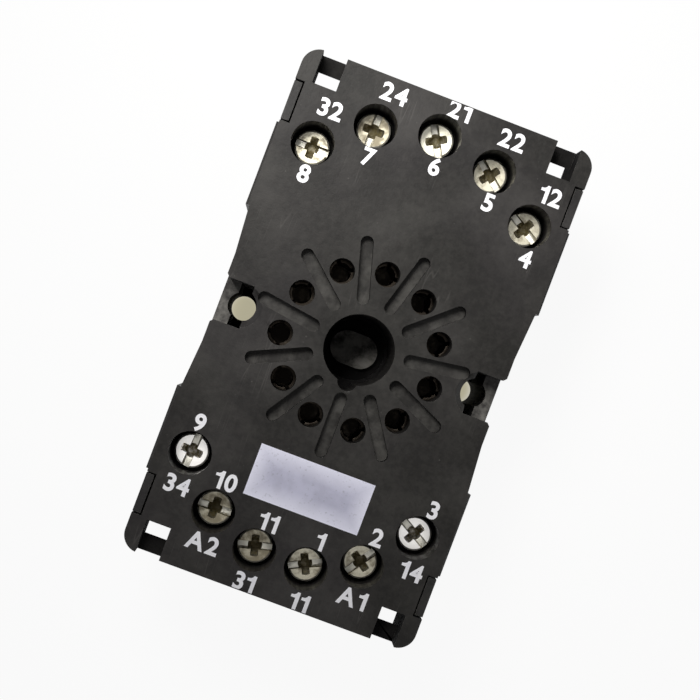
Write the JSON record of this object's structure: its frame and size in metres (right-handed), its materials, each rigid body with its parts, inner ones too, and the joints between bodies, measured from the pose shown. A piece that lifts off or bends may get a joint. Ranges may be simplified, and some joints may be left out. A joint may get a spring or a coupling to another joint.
{
  "type": "relay socket",
  "caption": "Black screw-terminal socket for a round-base plug-in relay, with a pin circle, keyed centre hole, rail clip and rising box clamps.",
  "frame": {"origin": "middle of the back plane", "axes": "+X across the socket, +Y along it towards the row of five screws, +Z out of the front face"},
  "size_m": [0.0372, 0.063, 0.026],
  "materials": {
    "black_moulding": "fine matt black moulding",
    "base_moulding": "matt black moulding",
    "clip_moulding": "black moulded clip",
    "nickel": "nickel-plated steel, slightly yellowed",
    "zinc_steel": "zinc-plated steel",
    "spring_steel": "drawn spring wire",
    "contact_brass": "rolled brass"
  },
  "bodies": {
    "housing": {"cover": "black_moulding", "base": "base_moulding", "clip_spring": "spring_steel", "contact_1": "contact_brass", "contact_2": "contact_brass", "contact_3": "contact_brass", "contact_4": "contact_brass", "contact_5": "contact_brass", "contact_6": "contact_brass", "contact_7": "contact_brass", "contact_8": "contact_brass", "contact_9": "contact_brass", "contact_10": "contact_brass", "contact_11": "contact_brass"},
    "rail_clip": {"rail_clip": "clip_moulding"},
    "screw_1": {"screw_1": "nickel"},
    "screw_2": {"screw_2": "nickel"},
    "screw_3": {"screw_3": "nickel"},
    "screw_4": {"screw_4": "nickel"},
    "screw_5": {"screw_5": "nickel"},
    "screw_6": {"screw_6": "nickel"},
    "screw_7": {"screw_7": "nickel"},
    "screw_8": {"screw_8": "nickel"},
    "screw_9": {"screw_9": "nickel"},
    "screw_10": {"screw_10": "nickel"},
    "screw_11": {"screw_11": "nickel"},
    "clamp_1": {"clamp_1": "zinc_steel"},
    "clamp_2": {"clamp_2": "zinc_steel"},
    "clamp_3": {"clamp_3": "zinc_steel"},
    "clamp_4": {"clamp_4": "zinc_steel"},
    "clamp_5": {"clamp_5": "zinc_steel"},
    "clamp_6": {"clamp_6": "zinc_steel"},
    "clamp_7": {"clamp_7": "zinc_steel"},
    "clamp_8": {"clamp_8": "zinc_steel"},
    "clamp_9": {"clamp_9": "zinc_steel"},
    "clamp_10": {"clamp_10": "zinc_steel"},
    "clamp_11": {"clamp_11": "zinc_steel"}
  },
  "joints": [
    {"name": "rail_clip_slide", "type": "slide", "parent": "housing", "child": "rail_clip", "axis": [0, 1, 0], "range_m": [0, 0.0025], "stiffness_N_per_m": 600, "springref_m": -0.003, "deforming": ["clip_spring"]},
    {"name": "screw_1_turn", "type": "hinge", "parent": "housing", "child": "screw_1", "pos_m": [0.00324, -0.02643, 0.02], "axis": [0, 0, -1], "range_deg": [0, 1800]},
    {"name": "screw_2_turn", "type": "hinge", "parent": "housing", "child": "screw_2", "pos_m": [0.00937, -0.02383, 0.02], "axis": [0, 0, -1], "range_deg": [0, 1800]},
    {"name": "screw_3_turn", "type": "hinge", "parent": "housing", "child": "screw_3", "pos_m": [0.01435, -0.01836, 0.02], "axis": [0, 0, -1], "range_deg": [0, 1800]},
    {"name": "screw_4_turn", "type": "hinge", "parent": "housing", "child": "screw_4", "pos_m": [0.01372, 0.02083, 0.02], "axis": [0, 0, -1], "range_deg": [0, 1800]},
    {"name": "screw_5_turn", "type": "hinge", "parent": "housing", "child": "screw_5", "pos_m": [0.00752, 0.02539, 0.02], "axis": [0, 0, -1], "range_deg": [0, 1800]},
    {"name": "screw_6_turn", "type": "hinge", "parent": "housing", "child": "screw_6", "pos_m": [0, 0.027, 0.02], "axis": [0, 0, -1], "range_deg": [0, 1800]},
    {"name": "screw_7_turn", "type": "hinge", "parent": "housing", "child": "screw_7", "pos_m": [-0.00752, 0.02539, 0.02], "axis": [0, 0, -1], "range_deg": [0, 1800]},
    {"name": "screw_8_turn", "type": "hinge", "parent": "housing", "child": "screw_8", "pos_m": [-0.01372, 0.02083, 0.02], "axis": [0, 0, -1], "range_deg": [0, 1800]},
    {"name": "screw_9_turn", "type": "hinge", "parent": "housing", "child": "screw_9", "pos_m": [-0.01435, -0.01836, 0.02], "axis": [0, 0, -1], "range_deg": [0, 1800]},
    {"name": "screw_10_turn", "type": "hinge", "parent": "housing", "child": "screw_10", "pos_m": [-0.00937, -0.02383, 0.02], "axis": [0, 0, -1], "range_deg": [0, 1800]},
    {"name": "screw_11_turn", "type": "hinge", "parent": "housing", "child": "screw_11", "pos_m": [-0.00324, -0.02643, 0.02], "axis": [0, 0, -1], "range_deg": [0, 1800]},
    {"name": "clamp_1_lift", "type": "slide", "parent": "housing", "child": "clamp_1", "axis": [0, 0, 1], "range_m": [0, 0.0025]},
    {"name": "clamp_2_lift", "type": "slide", "parent": "housing", "child": "clamp_2", "axis": [0, 0, 1], "range_m": [0, 0.0025]},
    {"name": "clamp_3_lift", "type": "slide", "parent": "housing", "child": "clamp_3", "axis": [0, 0, 1], "range_m": [0, 0.0025]},
    {"name": "clamp_4_lift", "type": "slide", "parent": "housing", "child": "clamp_4", "axis": [0, 0, 1], "range_m": [0, 0.0025]},
    {"name": "clamp_5_lift", "type": "slide", "parent": "housing", "child": "clamp_5", "axis": [0, 0, 1], "range_m": [0, 0.0025]},
    {"name": "clamp_6_lift", "type": "slide", "parent": "housing", "child": "clamp_6", "axis": [0, 0, 1], "range_m": [0, 0.0025]},
    {"name": "clamp_7_lift", "type": "slide", "parent": "housing", "child": "clamp_7", "axis": [0, 0, 1], "range_m": [0, 0.0025]},
    {"name": "clamp_8_lift", "type": "slide", "parent": "housing", "child": "clamp_8", "axis": [0, 0, 1], "range_m": [0, 0.0025]},
    {"name": "clamp_9_lift", "type": "slide", "parent": "housing", "child": "clamp_9", "axis": [0, 0, 1], "range_m": [0, 0.0025]},
    {"name": "clamp_10_lift", "type": "slide", "parent": "housing", "child": "clamp_10", "axis": [0, 0, 1], "range_m": [0, 0.0025]},
    {"name": "clamp_11_lift", "type": "slide", "parent": "housing", "child": "clamp_11", "axis": [0, 0, 1], "range_m": [0, 0.0025]}
  ],
  "couplings": [
    {"joint": "screw_1_turn", "follows": "clamp_1_lift", "rad_per_m": 12566},
    {"joint": "screw_2_turn", "follows": "clamp_2_lift", "rad_per_m": 12566},
    {"joint": "screw_3_turn", "follows": "clamp_3_lift", "rad_per_m": 12566},
    {"joint": "screw_4_turn", "follows": "clamp_4_lift", "rad_per_m": 12566},
    {"joint": "screw_5_turn", "follows": "clamp_5_lift", "rad_per_m": 12566},
    {"joint": "screw_6_turn", "follows": "clamp_6_lift", "rad_per_m": 12566},
    {"joint": "screw_7_turn", "follows": "clamp_7_lift", "rad_per_m": 12566},
    {"joint": "screw_8_turn", "follows": "clamp_8_lift", "rad_per_m": 12566},
    {"joint": "screw_9_turn", "follows": "clamp_9_lift", "rad_per_m": 12566},
    {"joint": "screw_10_turn", "follows": "clamp_10_lift", "rad_per_m": 12566},
    {"joint": "screw_11_turn", "follows": "clamp_11_lift", "rad_per_m": 12566}
  ]
}
